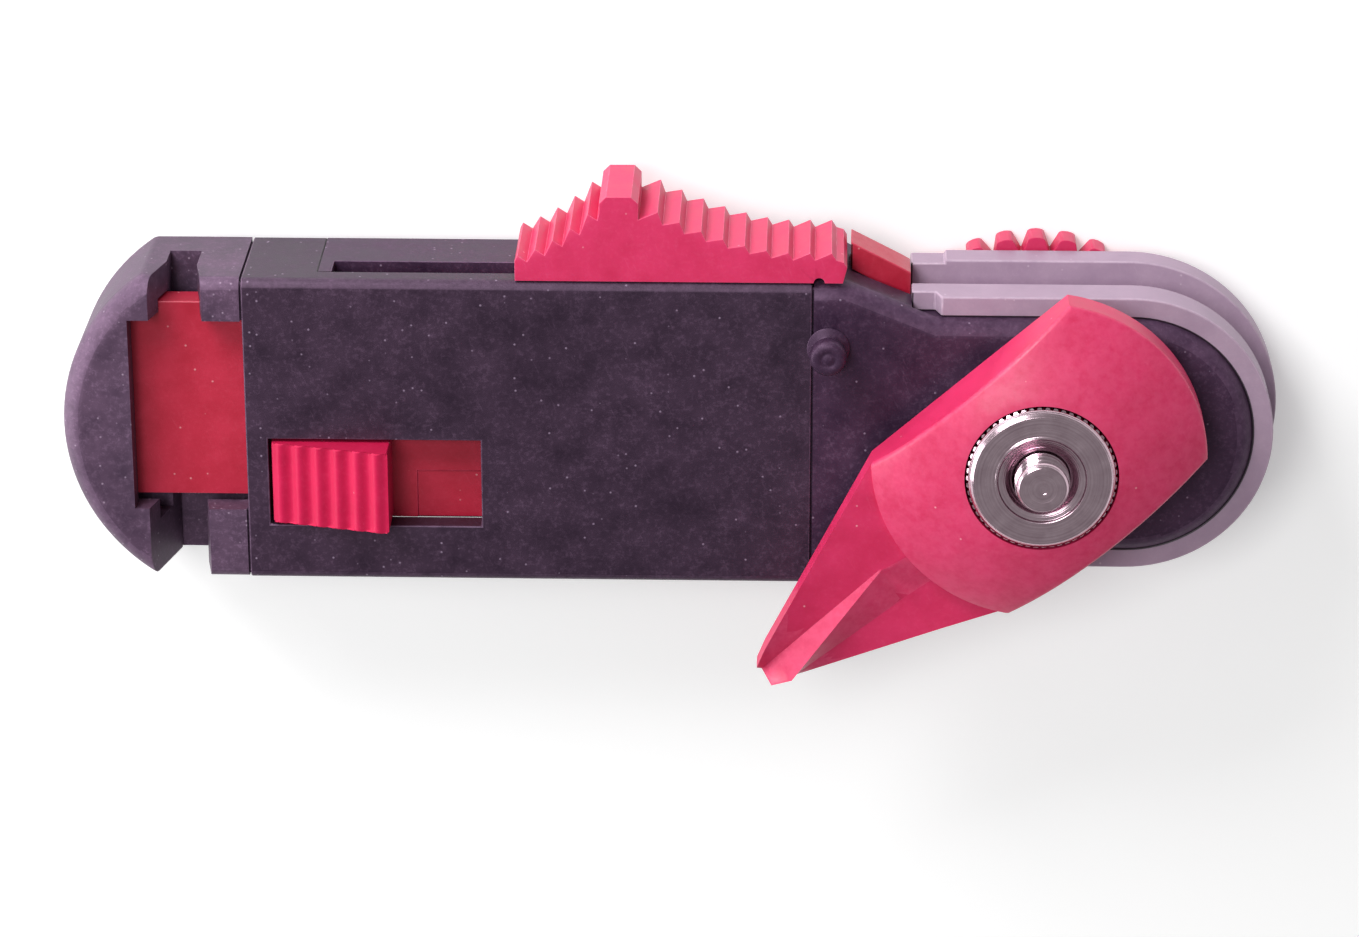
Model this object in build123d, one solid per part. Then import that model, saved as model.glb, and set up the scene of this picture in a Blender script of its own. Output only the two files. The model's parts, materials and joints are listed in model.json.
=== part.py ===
from build123d import *
import math
import os

# Pocket cable stripper. Millimetres. The tool lies on its back: +X runs along it
# towards the round head, +Y towards the edge with the thumb slide, and +Z out of
# the front face. The origin is on the back plane, under the middle of the case.

# Case
case_left = -30.95
case_right = 10.25
half_width = 11.7
back_z = 2.6
front_z = 12.0
seam_width = 0.14
seam_depth = 0.35
side_wall = 1.05
end_wall = 1.6
lid_inner_z = 10.2
bed_top_z = 5.8
edge_round = 0.7

# Nose with the cable channel
nose_tip = -44.45
nose_arc_r = 14.1
nose_round = 1.6
nose_side_round = 0.9
channel_left = -36.75
channel_right = -34.45
window_left = -39.3
window_low_y = -6.2
window_high_y = 8.5

# Gate that closes the channel
gate_left = -40.3
gate_right = -11.5
gate_low_y = -7.5
gate_high_y = 9.25
gate_step_x = -31.2
gate_step_y = -5.8
gate_low_z = 7.7
gate_high_z = 9.9
gate_gap = 0.25
gate_travel = 6.4
gate_relief = (-18.65, -3.8, 0.15)
button_left = -29.1
button_right = -20.45
button_low_y = -7.1
button_high_y = -0.85
button_gap = 0.25
saw_ribs = 6

# Thumb slide, its carriage and the blades
slide_left = -11.15
slide_right = 12.75
slide_low_z = 4.4
slide_high_z = 11.8
slide_gap = 0.05
slide_travel = 13.0
rail_left = -25.55
tongue_left = -10.8
tongue_right = -5.7
slot_left = tongue_left - slide_travel - 0.75
slot_right = tongue_right + 0.4
slot_low_z = 7.7
slot_high_z = 10.0
pin_x = -8.25
pin_z = 8.85
pin_r = 0.5
carriage_low_z = 5.95
carriage_high_z = 7.4
carriage_half_y = 4.8
blade_half_t = 0.3
blade_heel = -12.5
rivet_places = (-19.0, -14.5)
rivet_z = 6.7
rivet_r = 0.35
rivet_end = 2.2

# Head, guide rim and the turning group
head_x = 33.35
plate_r = 9.0
core_r = 8.0
rim_front_r = 10.5
rim_rear_r = 11.2
groove_r = 8.9
rim_start = 17.45
rim_step = 19.95
rim_low_end_z = 9.8
rim_front_z = 11.0
groove_front_z = 8.0
groove_rear_z = 5.0
head_back_z = 2.6
head_split_z = 8.5
head_round = 1.4
slope_start = 12.75
slope_end = 19.35
ramp_left = 13.05
ramp_right = 17.4
ramp_foot_y = 8.9
ramp_low_z = 4.7
ramp_high_z = 7.8
post_x = 11.45
post_y = 6.9
post_neck_r = 0.8
bush_r = 2.6
pivot_x = 26.7
stud_r = 2.0
stud_end_z = 21.8
flange_r = 3.5
flange_z = 1.2
run_gap = 0.04
wheel_r = 12.1
wheel_teeth = 32
tooth_depth = 1.35
wheel_low_z = 0.2
wheel_high_z = 2.4

# Beak lever, drawn along its own axis and then turned to its rest angle
lever_angle = 221.4
lever_half = 7.75
lever_rear_r = 12.0
lever_boss_r = 12.1
lever_low_z = 14.0
dome_r = 20.0
dome_top_z = 20.45
beak_knee = 9.2
beak_root = 14.2
beak_root_half = 5.78
beak_neck = 24.8
beak_tip = 26.2
# Across the beak at four distances from the pivot: left ridge, foot of the groove,
# top and foot of the fin, and the lower right edge, each as (across, height).
beak_sections = {
    beak_knee: [(-lever_half, 16.15), (0.0, 16.2), (0.1, 16.18), (2.6, 15.4), (lever_half, 15.4)],
    beak_root: [(-beak_root_half, 16.05), (-0.95, 16.0), (-0.85, 16.02), (2.2, 15.2), (beak_root_half, 15.2)],
    beak_neck: [(-1.6, 16.0), (-0.4, 15.3), (1.4, 16.5), (1.5, 15.6), (1.6, 15.2)],
    beak_tip: [(-0.9, 16.0), (-0.35, 15.2), (0.75, 16.4), (0.8, 15.8), (0.9, 15.4)],
}
nut_r = 5.4
nut_low_z = 17.85
nut_high_z = 20.2
nut_well_r = 5.5
nut_well_z = 17.2

# Back screws: three in the case, two in the nose and two in the head
case_screws = [(-26.5, -8.75), (6.8, -8.75), (6.8, 8.75)]
nose_screws = [(-38.6, -7.6), (-38.6, 7.6)]
head_screws = [(12.0, -7.5), (12.0, 7.5)]
screw_places = case_screws + nose_screws + head_screws
screw_r = 0.75
screw_head_r = 1.4
screw_depth = 2.6
post_r = 1.35
low_post_z = 7.4


def block(x0, x1, y0, y1, z0, z1):
    """A box between two corners."""
    size = Box(x1 - x0, y1 - y0, z1 - z0)
    return Pos((x0 + x1) / 2, (y0 + y1) / 2, (z0 + z1) / 2) * size


def rod(x, y, z0, z1, r):
    """A round bar along Z."""
    return Pos(x, y, (z0 + z1) / 2) * Cylinder(r, z1 - z0)


def tube(x, y, z0, z1, outer, inner):
    """A sleeve along Z."""
    return rod(x, y, z0, z1, outer) - rod(x, y, z0 - 1, z1 + 1, inner)


def prism(points, z0, z1):
    """A straight-sided outline in XY, raised from z0 to z1."""
    outline = make_face(Polyline(*points, close=True))
    return Pos(0, 0, z0) * extrude(outline, z1 - z0)


def rounded(shape, radius, keep):
    """Round the edges that keep() picks, in one go."""
    edges = [edge for edge in shape.edges() if keep(edge)]
    return fillet(edges, radius)


def seam_groove(x0):
    """A fine groove to cut where two mouldings meet, along the front and both sides."""
    core_y = half_width - seam_depth
    around = block(x0, x0 + seam_width, -half_width - 1, half_width + 1, back_z - 1, front_z + 1)
    return around - block(x0 - 1, x0 + 1, -core_y, core_y, back_z - 2, front_z - seam_depth)


def front_cover():
    body = block(case_left, case_right, -half_width, half_width, back_z, front_z)
    body = rounded(body, edge_round, lambda e: e.center().Z > front_z - 0.1 and abs(e.center().Y) > 11)
    inner_y = half_width - side_wall
    body -= block(case_left + end_wall, case_right - end_wall, -inner_y, inner_y, back_z, lid_inner_z)
    body -= block(case_left, case_left + end_wall, -7.9, 10.0, bed_top_z, lid_inner_z)
    body -= block(rail_left, case_right, inner_y, half_width, back_z, slot_high_z)
    window_right = button_right + gate_travel + button_gap
    window = block(button_left - button_gap, window_right, button_low_y - button_gap,
                   button_high_y + button_gap, lid_inner_z, front_z)
    body -= window
    for x, y in case_screws:
        wall_y = math.copysign(inner_y, y)
        top = lid_inner_z if x > 0 else low_post_z
        body += rod(x, y, back_z, top, post_r)
        body += block(x - post_r, x + post_r, min(y, wall_y), max(y, wall_y), back_z, top)
        body -= rod(x, y, back_z, back_z + screw_depth, screw_r)
    return body + block(1.5, 2.7, -1.0, 5.0, 7.9, lid_inner_z)


def top_rail():
    inner_y = half_width - side_wall
    body = block(rail_left, case_right, inner_y, half_width, back_z, slot_high_z)
    return body - block(slot_left, slot_right, inner_y, half_width, slot_low_z, slot_high_z)


def slide_bed():
    floor = block(case_left + end_wall + 0.1, case_right - end_wall - 0.1, -7.3, 7.3, back_z, bed_top_z)
    fence = block(case_left + end_wall + 0.1, case_right - end_wall - 0.1, -6.8, -5.0, bed_top_z, 7.4)
    return floor + fence


def back_outline(inset, x_end):
    """Plan of the case and nose, pulled in by the inset."""
    y = half_width - inset
    r = nose_arc_r - inset
    centre = nose_tip + nose_arc_r
    x = centre - math.sqrt(r * r - y * y)
    arc = ThreePointArc((x, y), (centre - r, 0), (x, -y))
    sides = Polyline((x, -y), (x_end, -y), (x_end, y), (x, y))
    return make_face(arc + sides)


def back_cover():
    body = extrude(back_outline(1.2, 13.9), back_z)
    body = chamfer(body.edges().group_by(Axis.Z)[0], 0.3)
    for x, y in screw_places:
        body -= rod(x, y, -1, back_z + 1, screw_r)
        body -= screw_head(x, y)
    return body


def screw_head(x, y):
    cone = Cone(screw_head_r, screw_r, 0.8)
    return rod(x, y, -0.5, 0.15, screw_head_r) + Pos(x, y, 0.55) * cone


def back_screws():
    screws = []
    for x, y in screw_places:
        head = screw_head(x, y) - block(x - 2, x + 2, y - 2, y + 2, -1, 0.15)
        screw = head + rod(x, y, 0.9, back_z + screw_depth, screw_r)
        screw -= block(x - 0.9, x + 0.9, y - 0.18, y + 0.18, 0, 0.5)
        screw -= block(x - 0.18, x + 0.18, y - 0.9, y + 0.9, 0, 0.5)
        screws.append(screw)
    return Compound(children=screws)


def nose_block():
    body = Pos(0, 0, back_z) * extrude(back_outline(0, case_left), front_z - back_z)
    body = rounded(body, nose_round, lambda e: e.center().Z > front_z - 0.1 and e.center().X < nose_tip + 0.1)
    body = rounded(body, nose_side_round, lambda e: e.center().Z > front_z - 0.1 and abs(e.center().Y) > 11.6)
    pocket_y0 = gate_low_y - gate_gap
    pocket_y1 = gate_high_y + gate_gap
    body -= block(gate_left - 0.2, case_left, pocket_y0, pocket_y1, gate_low_z - 0.1, 10.05)
    body -= block(window_left, case_left, window_low_y, window_high_y, 10.05, front_z)
    body -= block(channel_left, channel_right, -12, 12, bed_top_z, front_z)
    body -= block(channel_right, case_left, -5.05, 5.05, bed_top_z, gate_low_z - 0.1)
    body -= block(-42.0, channel_left, 0.35, 0.95, bed_top_z, gate_low_z - 0.1)
    body -= seam_groove(case_left - seam_width)
    for side in (1, -1):
        lead_foot, lead_head = (8.1, -38.0) if side > 0 else (6.2, -38.5)
        left_lead = [(channel_left, lead_foot), (channel_left, 13), (lead_head, 13)]
        right_lead = [(channel_right, 8.8), (channel_right, 13), (-33.65, 13)]
        for lead in (left_lead, right_lead):
            face = make_face(Polyline(*[(x, 0, z) for x, z in lead], close=True))
            y_wall = window_high_y if side > 0 else -window_low_y
            cut = extrude(face, 13, dir=(0, side, 0)) - block(-45, -30, -y_wall, y_wall, 0, 14)
            body -= cut
    for x, y in nose_screws:
        body -= rod(x, y, back_z, back_z + screw_depth, screw_r)
    return body


def notched_blade(x_edge, x_heel, y0, y1, z0, z1):
    """A flat steel blade with a V at its edge; the edge is at x_edge."""
    body = block(min(x_edge, x_heel), max(x_edge, x_heel), y0, y1, z0, z1)
    inward = math.copysign(0.7, x_heel - x_edge)
    middle = (z0 + z1) / 2
    points = [(x_edge, middle - 0.6), (x_edge + inward, middle), (x_edge, middle + 0.6)]
    points.append((x_edge - inward, middle))
    face = make_face(Polyline(*[(x, y0 - 1, z) for x, z in points], close=True))
    return body - extrude(face, y1 - y0 + 2, dir=(0, 1, 0))


def fixed_blade():
    return notched_blade(-36.9, -42.0, 0.35, 0.95, bed_top_z, gate_low_z - 0.15)


def stripping_blade():
    return notched_blade(-23.7, blade_heel, -blade_half_t, blade_half_t, carriage_low_z, carriage_high_z)


def gate_plate():
    body = block(gate_left, gate_right, gate_low_y, gate_high_y, gate_low_z, gate_high_z)
    body -= block(gate_left, gate_step_x, gate_low_y, gate_step_y, gate_low_z, gate_high_z)
    x, y, depth = gate_relief
    return body - block(x, gate_right, gate_low_y, y, gate_high_z - depth, gate_high_z)


def gate_button():
    """Wedge-topped push button with a row of saw ribs."""
    pitch = (button_right - button_left) / saw_ribs
    top = []
    for rib in range(saw_ribs):
        x = button_left + rib * pitch
        height = front_z + 0.25 + 0.36 * rib
        top += [(x + 0.3, height - 0.35), (x + pitch - 0.25, height + 0.1)]
    points = [(button_left, gate_high_z), (button_left, front_z - 0.3)] + top
    points += [(button_right, front_z + 1.6), (button_right, gate_high_z)]
    face = make_face(Polyline(*[(x, button_low_y, z) for x, z in points], close=True))
    return extrude(face, button_high_y - button_low_y, dir=(0, 1, 0))


def gate_spring():
    """Compression spring behind the gate, along X."""
    length = 1.5 - gate_right
    helix = Helix(pitch=length / 9, height=length - 0.4, radius=0.8)
    wire = sweep(Plane(helix @ 0, z_dir=helix % 0) * Circle(0.18), path=helix)
    return Pos(gate_right + 0.2, 2.0, 8.9) * Rot(0, 90, 0) * wire


def slide_profile():
    """Side view of the thumb slide as (x, height above the case edge)."""
    points = [(slide_left, 0), (slide_left, 1.5)]
    for step in range(5):
        x = slide_left + 0.2 + 1.27 * step
        height = 1.9 + 0.4 * step + 0.1 * step * step
        points += [(x, height), (x + 0.7, height - 0.45)]
    points += [(-5.05, 5.2), (-5.05, 5.9), (-4.55, 6.4), (-2.75, 6.4), (-2.25, 5.9), (-2.25, 4.7)]
    for tooth in range(9):
        rise = 3.0 * (max(0, 6 - tooth) / 6) ** 1.6
        x = -0.85 + 1.56 * tooth
        points += [(x, 2.3 + rise), (x + 0.35, 1.75 + rise * 0.86)]
    return points + [(slide_right - 0.25, 1.6), (slide_right, 1.2), (slide_right - 0.3, 0)]


def thumb_slide():
    base = half_width + slide_gap
    body = prism([(x, base + h) for x, h in slide_profile()], slide_low_z, slide_high_z)
    tongue = block(tongue_left, tongue_right, 10.45, base + 0.3, 7.95, 9.75)
    arch = rod(case_right + 0.5, base, slide_high_z - 2, slide_high_z + 1, 0.4)
    return body + tongue - arch - rod_y(pin_x, pin_z, pin_r, 9.9, 12.8)


def rod_y(x, z, r, y0, y1):
    """A round bar along Y."""
    return Pos(x, (y0 + y1) / 2, z) * Rot(90, 0, 0) * Cylinder(r, y1 - y0)


def blade_carriage():
    body = block(-21.0, -4.0, -carriage_half_y, carriage_half_y, carriage_low_z, carriage_high_z)
    body += block(-11.0, -5.5, carriage_half_y, 10.45, carriage_low_z, carriage_high_z)
    body += block(-11.0, -5.5, 9.9, 10.45, carriage_low_z, 9.7)
    body -= block(-21.0, blade_heel, -blade_half_t, blade_half_t, carriage_low_z, carriage_high_z)
    body -= rod_y(pin_x, pin_z, pin_r, 9.5, 11)
    for x in rivet_places:
        body -= rod_y(x, rivet_z, rivet_r, -rivet_end, rivet_end)
    return body


def slide_pin():
    return rod_y(pin_x, pin_z, pin_r, 9.9, 12.6)


def blade_rivets():
    """Two cross pins that stop the blade in its slot, one either side of it."""
    pins = []
    for x in rivet_places:
        pins.append(rod_y(x, rivet_z, rivet_r, -rivet_end, -blade_half_t))
        pins.append(rod_y(x, rivet_z, rivet_r, blade_half_t, rivet_end))
    return Compound(children=pins)


def head_outline(r, x_from):
    """Plan of the head: parallel sides into a round end, with sloped shoulders."""
    shoulder = [(x_from, half_width), (slope_start, half_width), (slope_end, r), (head_x, r)]
    if x_from > slope_start:
        shoulder = [(x_from, r), (head_x, r)]
    upper = Polyline(*shoulder)
    lower = Polyline(*[(x, -y) for x, y in reversed(shoulder)])
    end = ThreePointArc((head_x, r), (head_x + r, 0), (head_x, -r))
    back = Line((x_from, -shoulder[0][1]), (x_from, shoulder[0][1]))
    return make_face(upper + end + lower + back)


def shoulder_cut(r, z0, z1):
    """Room for the rim beside the head's core, on both sides."""
    cut = block(rim_start, head_x, r, half_width, z0, z1)
    return cut + mirror(cut, Plane.XZ)


def head_front_plate():
    body = Pos(0, 0, head_split_z) * extrude(head_outline(plate_r, case_right), front_z - head_split_z)
    top = [e for e in body.edges().group_by(Axis.Z)[-1] if e.center().X > case_right + 0.1]
    body = fillet(top, head_round)
    body -= rod(pivot_x, 0, 0, 14, bush_r)
    body -= rod(post_x, post_y, 9.5, 14, post_neck_r)
    body -= seam_groove(case_right)
    return body - shoulder_cut(plate_r, head_split_z, rim_front_z)


def head_back_plate():
    body = Pos(0, 0, head_back_z) * extrude(head_outline(core_r, case_right), head_split_z - head_back_z)
    body -= block(ramp_left, ramp_right, ramp_foot_y, 14, ramp_low_z, ramp_high_z)
    body -= rod(pivot_x, 0, 0, 14, bush_r)
    for x, y in head_screws:
        body -= rod(x, y, back_z, back_z + screw_depth, screw_r)
    body -= seam_groove(case_right)
    return body - shoulder_cut(core_r, head_back_z, head_split_z)


def rim_band(outer, inner, z0, z1, start=rim_start):
    """One level of the U-shaped rim, open towards the case."""
    band = extrude(head_outline(outer, start) - head_outline(inner, start), z1 - z0)
    return Pos(0, 0, z0) * band


def guide_rim():
    """Two flanges with a groove between them; both flanges step up a little way along."""
    body = rim_band(rim_rear_r - 0.25, core_r, head_back_z, groove_rear_z)
    body += rim_band(rim_rear_r, core_r, head_back_z, groove_rear_z, rim_step)
    body += rim_band(groove_r, core_r, groove_rear_z, groove_front_z)
    body += rim_band(rim_front_r, core_r, groove_front_z, head_split_z)
    body += rim_band(rim_front_r, plate_r, head_split_z, rim_front_z)
    step = [(rim_start - 1, rim_low_end_z), (rim_step - 0.8, rim_low_end_z)]
    step += [(rim_step, rim_front_z + 1), (rim_start - 1, rim_front_z + 1)]
    face = make_face(Polyline(*[(x, -half_width, z) for x, z in step], close=True))
    return body - extrude(face, 2 * half_width, dir=(0, 1, 0))


def ramp_block():
    """Lead-in ramp that stands in the shoulder of the head."""
    outline = [(ramp_left, ramp_foot_y), (ramp_right, ramp_foot_y), (ramp_right, 11.2)]
    outline += [(ramp_right - 0.6, 11.55), (ramp_left, 13.5)]
    return prism(outline, ramp_low_z, ramp_high_z)


def stop_post():
    body = rod(post_x, post_y, 9.5, 13.4, post_neck_r)
    body += tube(post_x, post_y, front_z, front_z + 0.25, 1.6, post_neck_r)
    head = rod(post_x, post_y, 13.3, 14.6, 1.35)
    return body + fillet(head.edges().group_by(Axis.Z)[-1], 0.3)


def axle_bush_front():
    sleeve = tube(pivot_x, 0, head_split_z, front_z, bush_r, stud_r + run_gap)
    return sleeve + tube(pivot_x, 0, front_z, front_z + 0.3, 4.2, stud_r + run_gap)


def axle_bush_back():
    return tube(pivot_x, 0, head_back_z, head_split_z, bush_r, stud_r + run_gap)


def toothed_wheel():
    body = rod(pivot_x, 0, wheel_low_z, wheel_high_z, wheel_r)
    root = wheel_r - tooth_depth
    tip = wheel_r + 0.6
    gap_plan = [(root, -0.08), (tip, -0.9), (tip, 0.9), (root, 0.08)]
    gap = prism(gap_plan, wheel_low_z - 1, wheel_high_z + 1)
    for tooth in range(wheel_teeth):
        body -= Pos(pivot_x, 0, 0) * Rot(0, 0, 360 * (tooth + 0.5) / wheel_teeth) * gap
    body -= rod(pivot_x, 0, 0, 3, stud_r)
    return body - rod(pivot_x, 0, 0, flange_z, flange_r)


def axle_stud():
    body = rod(pivot_x, 0, 0.3, flange_z, flange_r) + rod(pivot_x, 0, flange_z, stud_end_z, stud_r)
    return chamfer(body.edges().group_by(Axis.Z)[-1], 0.35)


def lever_spacer():
    return tube(pivot_x, 0, front_z + 0.35, lever_low_z, 4.5, stud_r)


def boss_outline():
    """Plan of the lever's boss along +X from its pivot: rear arc, flat sides and the beak's root."""
    rear = math.sqrt(lever_rear_r ** 2 - lever_half ** 2)
    side = [(-rear, lever_half), (beak_knee, lever_half), (beak_root, beak_root_half)]
    front = Polyline(*side, *[(x, -y) for x, y in reversed(side)])
    back = ThreePointArc((-rear, -lever_half), (-lever_rear_r, 0), (-rear, lever_half))
    return make_face(front + back)


def beak():
    """Tapered beak with a raised left edge, a groove and a fin that rises towards the tip."""
    faces = []
    for x, top in beak_sections.items():
        across = [(top[0][0], lever_low_z)] + top + [(top[-1][0], lever_low_z)]
        faces.append(make_face(Polyline(*[(x, y, z) for y, z in across], close=True)))
    return loft(faces, ruled=True)


def beak_lever():
    dome = Pos(0, 0, dome_top_z - dome_r) * Sphere(dome_r)
    boss = Pos(0, 0, lever_low_z) * extrude(boss_outline(), 8)
    boss = (boss & rod(0, 0, lever_low_z, 22, lever_boss_r)) & dome
    body = boss + (beak() - rod(0, 0, 0, 30, lever_boss_r - 0.4))
    body -= rod(0, 0, nut_well_z, 25, nut_well_r)
    body -= rod(0, 0, 0, 30, stud_r)
    rim = [e for e in body.edges() if sharp_dome_edge(e)]
    body = fillet(rim, 0.45)
    return Pos(pivot_x, 0, 0) * Rot(0, 0, lever_angle) * body


def sharp_dome_edge(edge):
    """True for the long edges where the dome meets the lever's sides and rear."""
    at = edge.center()
    flat = abs(abs(at.Y) - lever_half) < 0.3 and abs(at.X) < 7
    rear = at.X < -10.5 and abs(at.Y) < 2
    return at.Z > lever_low_z + 2 and (flat or rear)


def nut_washer():
    return tube(pivot_x, 0, nut_well_z, nut_low_z - 0.05, 4.9, stud_r + run_gap)


def knurled_nut():
    body = rod(pivot_x, 0, nut_low_z, nut_high_z, nut_r)
    body = chamfer(body.edges().group_by(Axis.Z)[-1], 0.5)
    body -= rod(pivot_x, 0, 0, 30, stud_r + run_gap)
    sink = Pos(pivot_x, 0, nut_high_z - 0.5) * Cone(2.1, 3.2, 1.0)
    return body - sink


nodes = {
    "front_cover": front_cover,
    "top_rail": top_rail,
    "slide_bed": slide_bed,
    "back_cover": back_cover,
    "back_screws": back_screws,
    "nose_block": nose_block,
    "fixed_blade": fixed_blade,
    "head_front_plate": head_front_plate,
    "head_back_plate": head_back_plate,
    "guide_rim": guide_rim,
    "ramp_block": ramp_block,
    "stop_post": stop_post,
    "axle_bush_front": axle_bush_front,
    "axle_bush_back": axle_bush_back,
    "gate_plate": gate_plate,
    "gate_button": gate_button,
    "gate_spring": gate_spring,
    "thumb_slide": thumb_slide,
    "blade_carriage": blade_carriage,
    "slide_pin": slide_pin,
    "stripping_blade": stripping_blade,
    "blade_rivets": blade_rivets,
    "toothed_wheel": toothed_wheel,
    "axle_stud": axle_stud,
    "lever_spacer": lever_spacer,
    "beak_lever": beak_lever,
    "nut_washer": nut_washer,
    "knurled_nut": knurled_nut,
}

os.makedirs("parts", exist_ok=True)
for name, make in nodes.items():
    export_step(make(), f"parts/{name}.step")
    print(name)
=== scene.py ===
import bpy
import bmesh
import json
import math
from mathutils import Matrix, Vector
from mathutils.bvhtree import BVHTree


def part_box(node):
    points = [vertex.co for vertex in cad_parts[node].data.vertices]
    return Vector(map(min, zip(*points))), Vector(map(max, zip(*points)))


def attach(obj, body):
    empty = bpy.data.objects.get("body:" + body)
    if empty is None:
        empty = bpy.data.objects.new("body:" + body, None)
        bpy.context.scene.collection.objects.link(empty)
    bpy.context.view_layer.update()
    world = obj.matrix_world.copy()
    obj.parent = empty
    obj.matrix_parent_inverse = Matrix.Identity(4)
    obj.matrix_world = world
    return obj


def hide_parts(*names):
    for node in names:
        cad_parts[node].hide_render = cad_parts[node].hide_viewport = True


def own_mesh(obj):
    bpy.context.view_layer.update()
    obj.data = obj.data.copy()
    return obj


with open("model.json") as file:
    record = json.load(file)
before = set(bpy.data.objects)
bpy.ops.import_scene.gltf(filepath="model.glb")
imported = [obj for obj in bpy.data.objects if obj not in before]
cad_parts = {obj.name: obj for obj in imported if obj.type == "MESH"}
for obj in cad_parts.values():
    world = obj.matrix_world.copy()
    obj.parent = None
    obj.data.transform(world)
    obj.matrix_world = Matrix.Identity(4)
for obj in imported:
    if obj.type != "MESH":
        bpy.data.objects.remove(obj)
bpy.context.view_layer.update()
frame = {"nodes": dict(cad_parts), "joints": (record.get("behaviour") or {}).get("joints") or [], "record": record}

mm = 0.001
cadNodes = frame["nodes"]
bodyOf = {node: body for body, members in frame["record"]["behaviour"]["bodies"].items() for node in members}
slotOf = {part["node"]: part["material_slot"] for part in frame["record"]["subparts"]}
jointOf = {joint["name"]: joint for joint in frame["joints"]}
pivot = Vector(jointOf["lever_turn"]["pos_m"])
axle = Vector((pivot.x, pivot.y, 0))
print("frame loaded:", len(cadNodes), "nodes")


class Wire:
    def __init__(self, socket):
        self.socket = socket
        self.tree = socket.id_data

    def math(self, operation, other, flipped=False):
        first, second = (other, self) if flipped else (self, other)
        return Wire.add(self.tree, "ShaderNodeMath", {"operation": operation}, {0: first, 1: second})

    def __add__(self, other):
        return self.math("ADD", other)

    def __sub__(self, other):
        return self.math("SUBTRACT", other)

    def __mul__(self, other):
        return self.math("MULTIPLY", other)

    def __rtruediv__(self, other):
        return self.math("DIVIDE", other, True)

    def __gt__(self, other):
        return self.math("GREATER_THAN", other)

    @staticmethod
    def add(tree, kind, settings=None, values=None, out=0):
        node = tree.nodes.new(kind)
        for name, value in (settings or {}).items():
            setattr(node, name, value)
        for name, value in (values or {}).items():
            for item in value if isinstance(value, list) else [value]:
                if isinstance(item, Wire):
                    tree.links.new(item.socket, node.inputs[name])
                else:
                    node.inputs[name].default_value = item
        return Wire(node.outputs[out])


def rgba(colour):
    return (*colour, 1.0)


class Finish:
    def __init__(self, name):
        self.material = bpy.data.materials.new(name)
        self.material.use_nodes = True
        self.tree = self.material.node_tree
        self.shader = self.tree.nodes["Principled BSDF"]
        self.place = self.add("ShaderNodeTexCoord", out="Object")

    def add(self, kind, settings=None, values=None, out=0):
        return Wire.add(self.tree, kind, settings, values, out)

    def noise(self, size, detail, roughness=0.55, place=None):
        values = {"Vector": place or self.place, "Scale": 1 / size, "Detail": detail, "Roughness": roughness}
        return self.add("ShaderNodeTexNoise", None, values)

    def stretched(self, stretch, turn=0.0):
        values = {"Vector": self.place, "Scale": stretch, "Rotation": (0, 0, math.radians(turn))}
        return self.add("ShaderNodeMapping", {"vector_type": "TEXTURE"}, values)

    def span(self, wire, low, high, toLow=0.0, toHigh=1.0):
        values = {"Value": wire, "From Min": low, "From Max": high, "To Min": toLow, "To Max": toHigh}
        return self.add("ShaderNodeMapRange", {"clamp": True}, values)

    def blend(self, factor, first, second):
        values = {"Factor": factor, 6: first if isinstance(first, Wire) else rgba(first)}
        values[7] = second if isinstance(second, Wire) else rgba(second)
        return self.add("ShaderNodeMix", {"data_type": "RGBA"}, values, 2)

    def specks(self, cell, size, share):
        values = {"Vector": self.place, "Scale": 1 / cell, "Randomness": 1.0}
        distance = self.add("ShaderNodeTexVoronoi", {"feature": "F1"}, values, "Distance")
        chance = self.add("ShaderNodeTexVoronoi", {"feature": "F1"}, values, "Color")
        chosen = self.add("ShaderNodeSeparateColor", None, {"Color": chance}, 0)
        return self.span(distance, size, size * 0.4) * (chosen > 1 - share)

    def attribute(self, name):
        return self.add("ShaderNodeAttribute", {"attribute_name": name}, None, "Fac")

    def radius(self, centre):
        place = self.add("ShaderNodeVectorMath", {"operation": "SUBTRACT"}, {0: self.place, 1: centre})
        flat = self.add("ShaderNodeVectorMath", {"operation": "MULTIPLY"}, {0: place, 1: (1.0, 1.0, 0.0)})
        return self.add("ShaderNodeVectorMath", {"operation": "LENGTH"}, {0: flat}, "Value")

    def bump(self, height, depth):
        return self.add("ShaderNodeBump", None, {"Height": height, "Distance": depth})

    def finish(self, colour, roughness, normal=None, **fixed):
        for name, value in {"Base Color": colour, "Roughness": roughness, "Normal": normal}.items():
            if isinstance(value, Wire):
                self.tree.links.new(value.socket, self.shader.inputs[name])
            elif value is not None:
                self.shader.inputs[name].default_value = value
        for name, value in fixed.items():
            self.shader.inputs[name.replace("_", " ")].default_value = value
        return self.material


plastic = {
    "patchSize": 2.4 * mm,  # flow patches left by the mould
    "mottleSize": 0.32 * mm,
    "grainSize": 0.09 * mm,
    "speckCell": 0.62 * mm,
    "speckSize": 0.17,
    "speckStrength": 0.5,
    "scuffSize": 0.22 * mm,
    "scuffLength": 9.0,  # times its width
    "scuffAngle": 24,
    "scuffStrength": 0.16,
    "seamShade": 0.97,  # painted shade where two pieces meet
}


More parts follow.
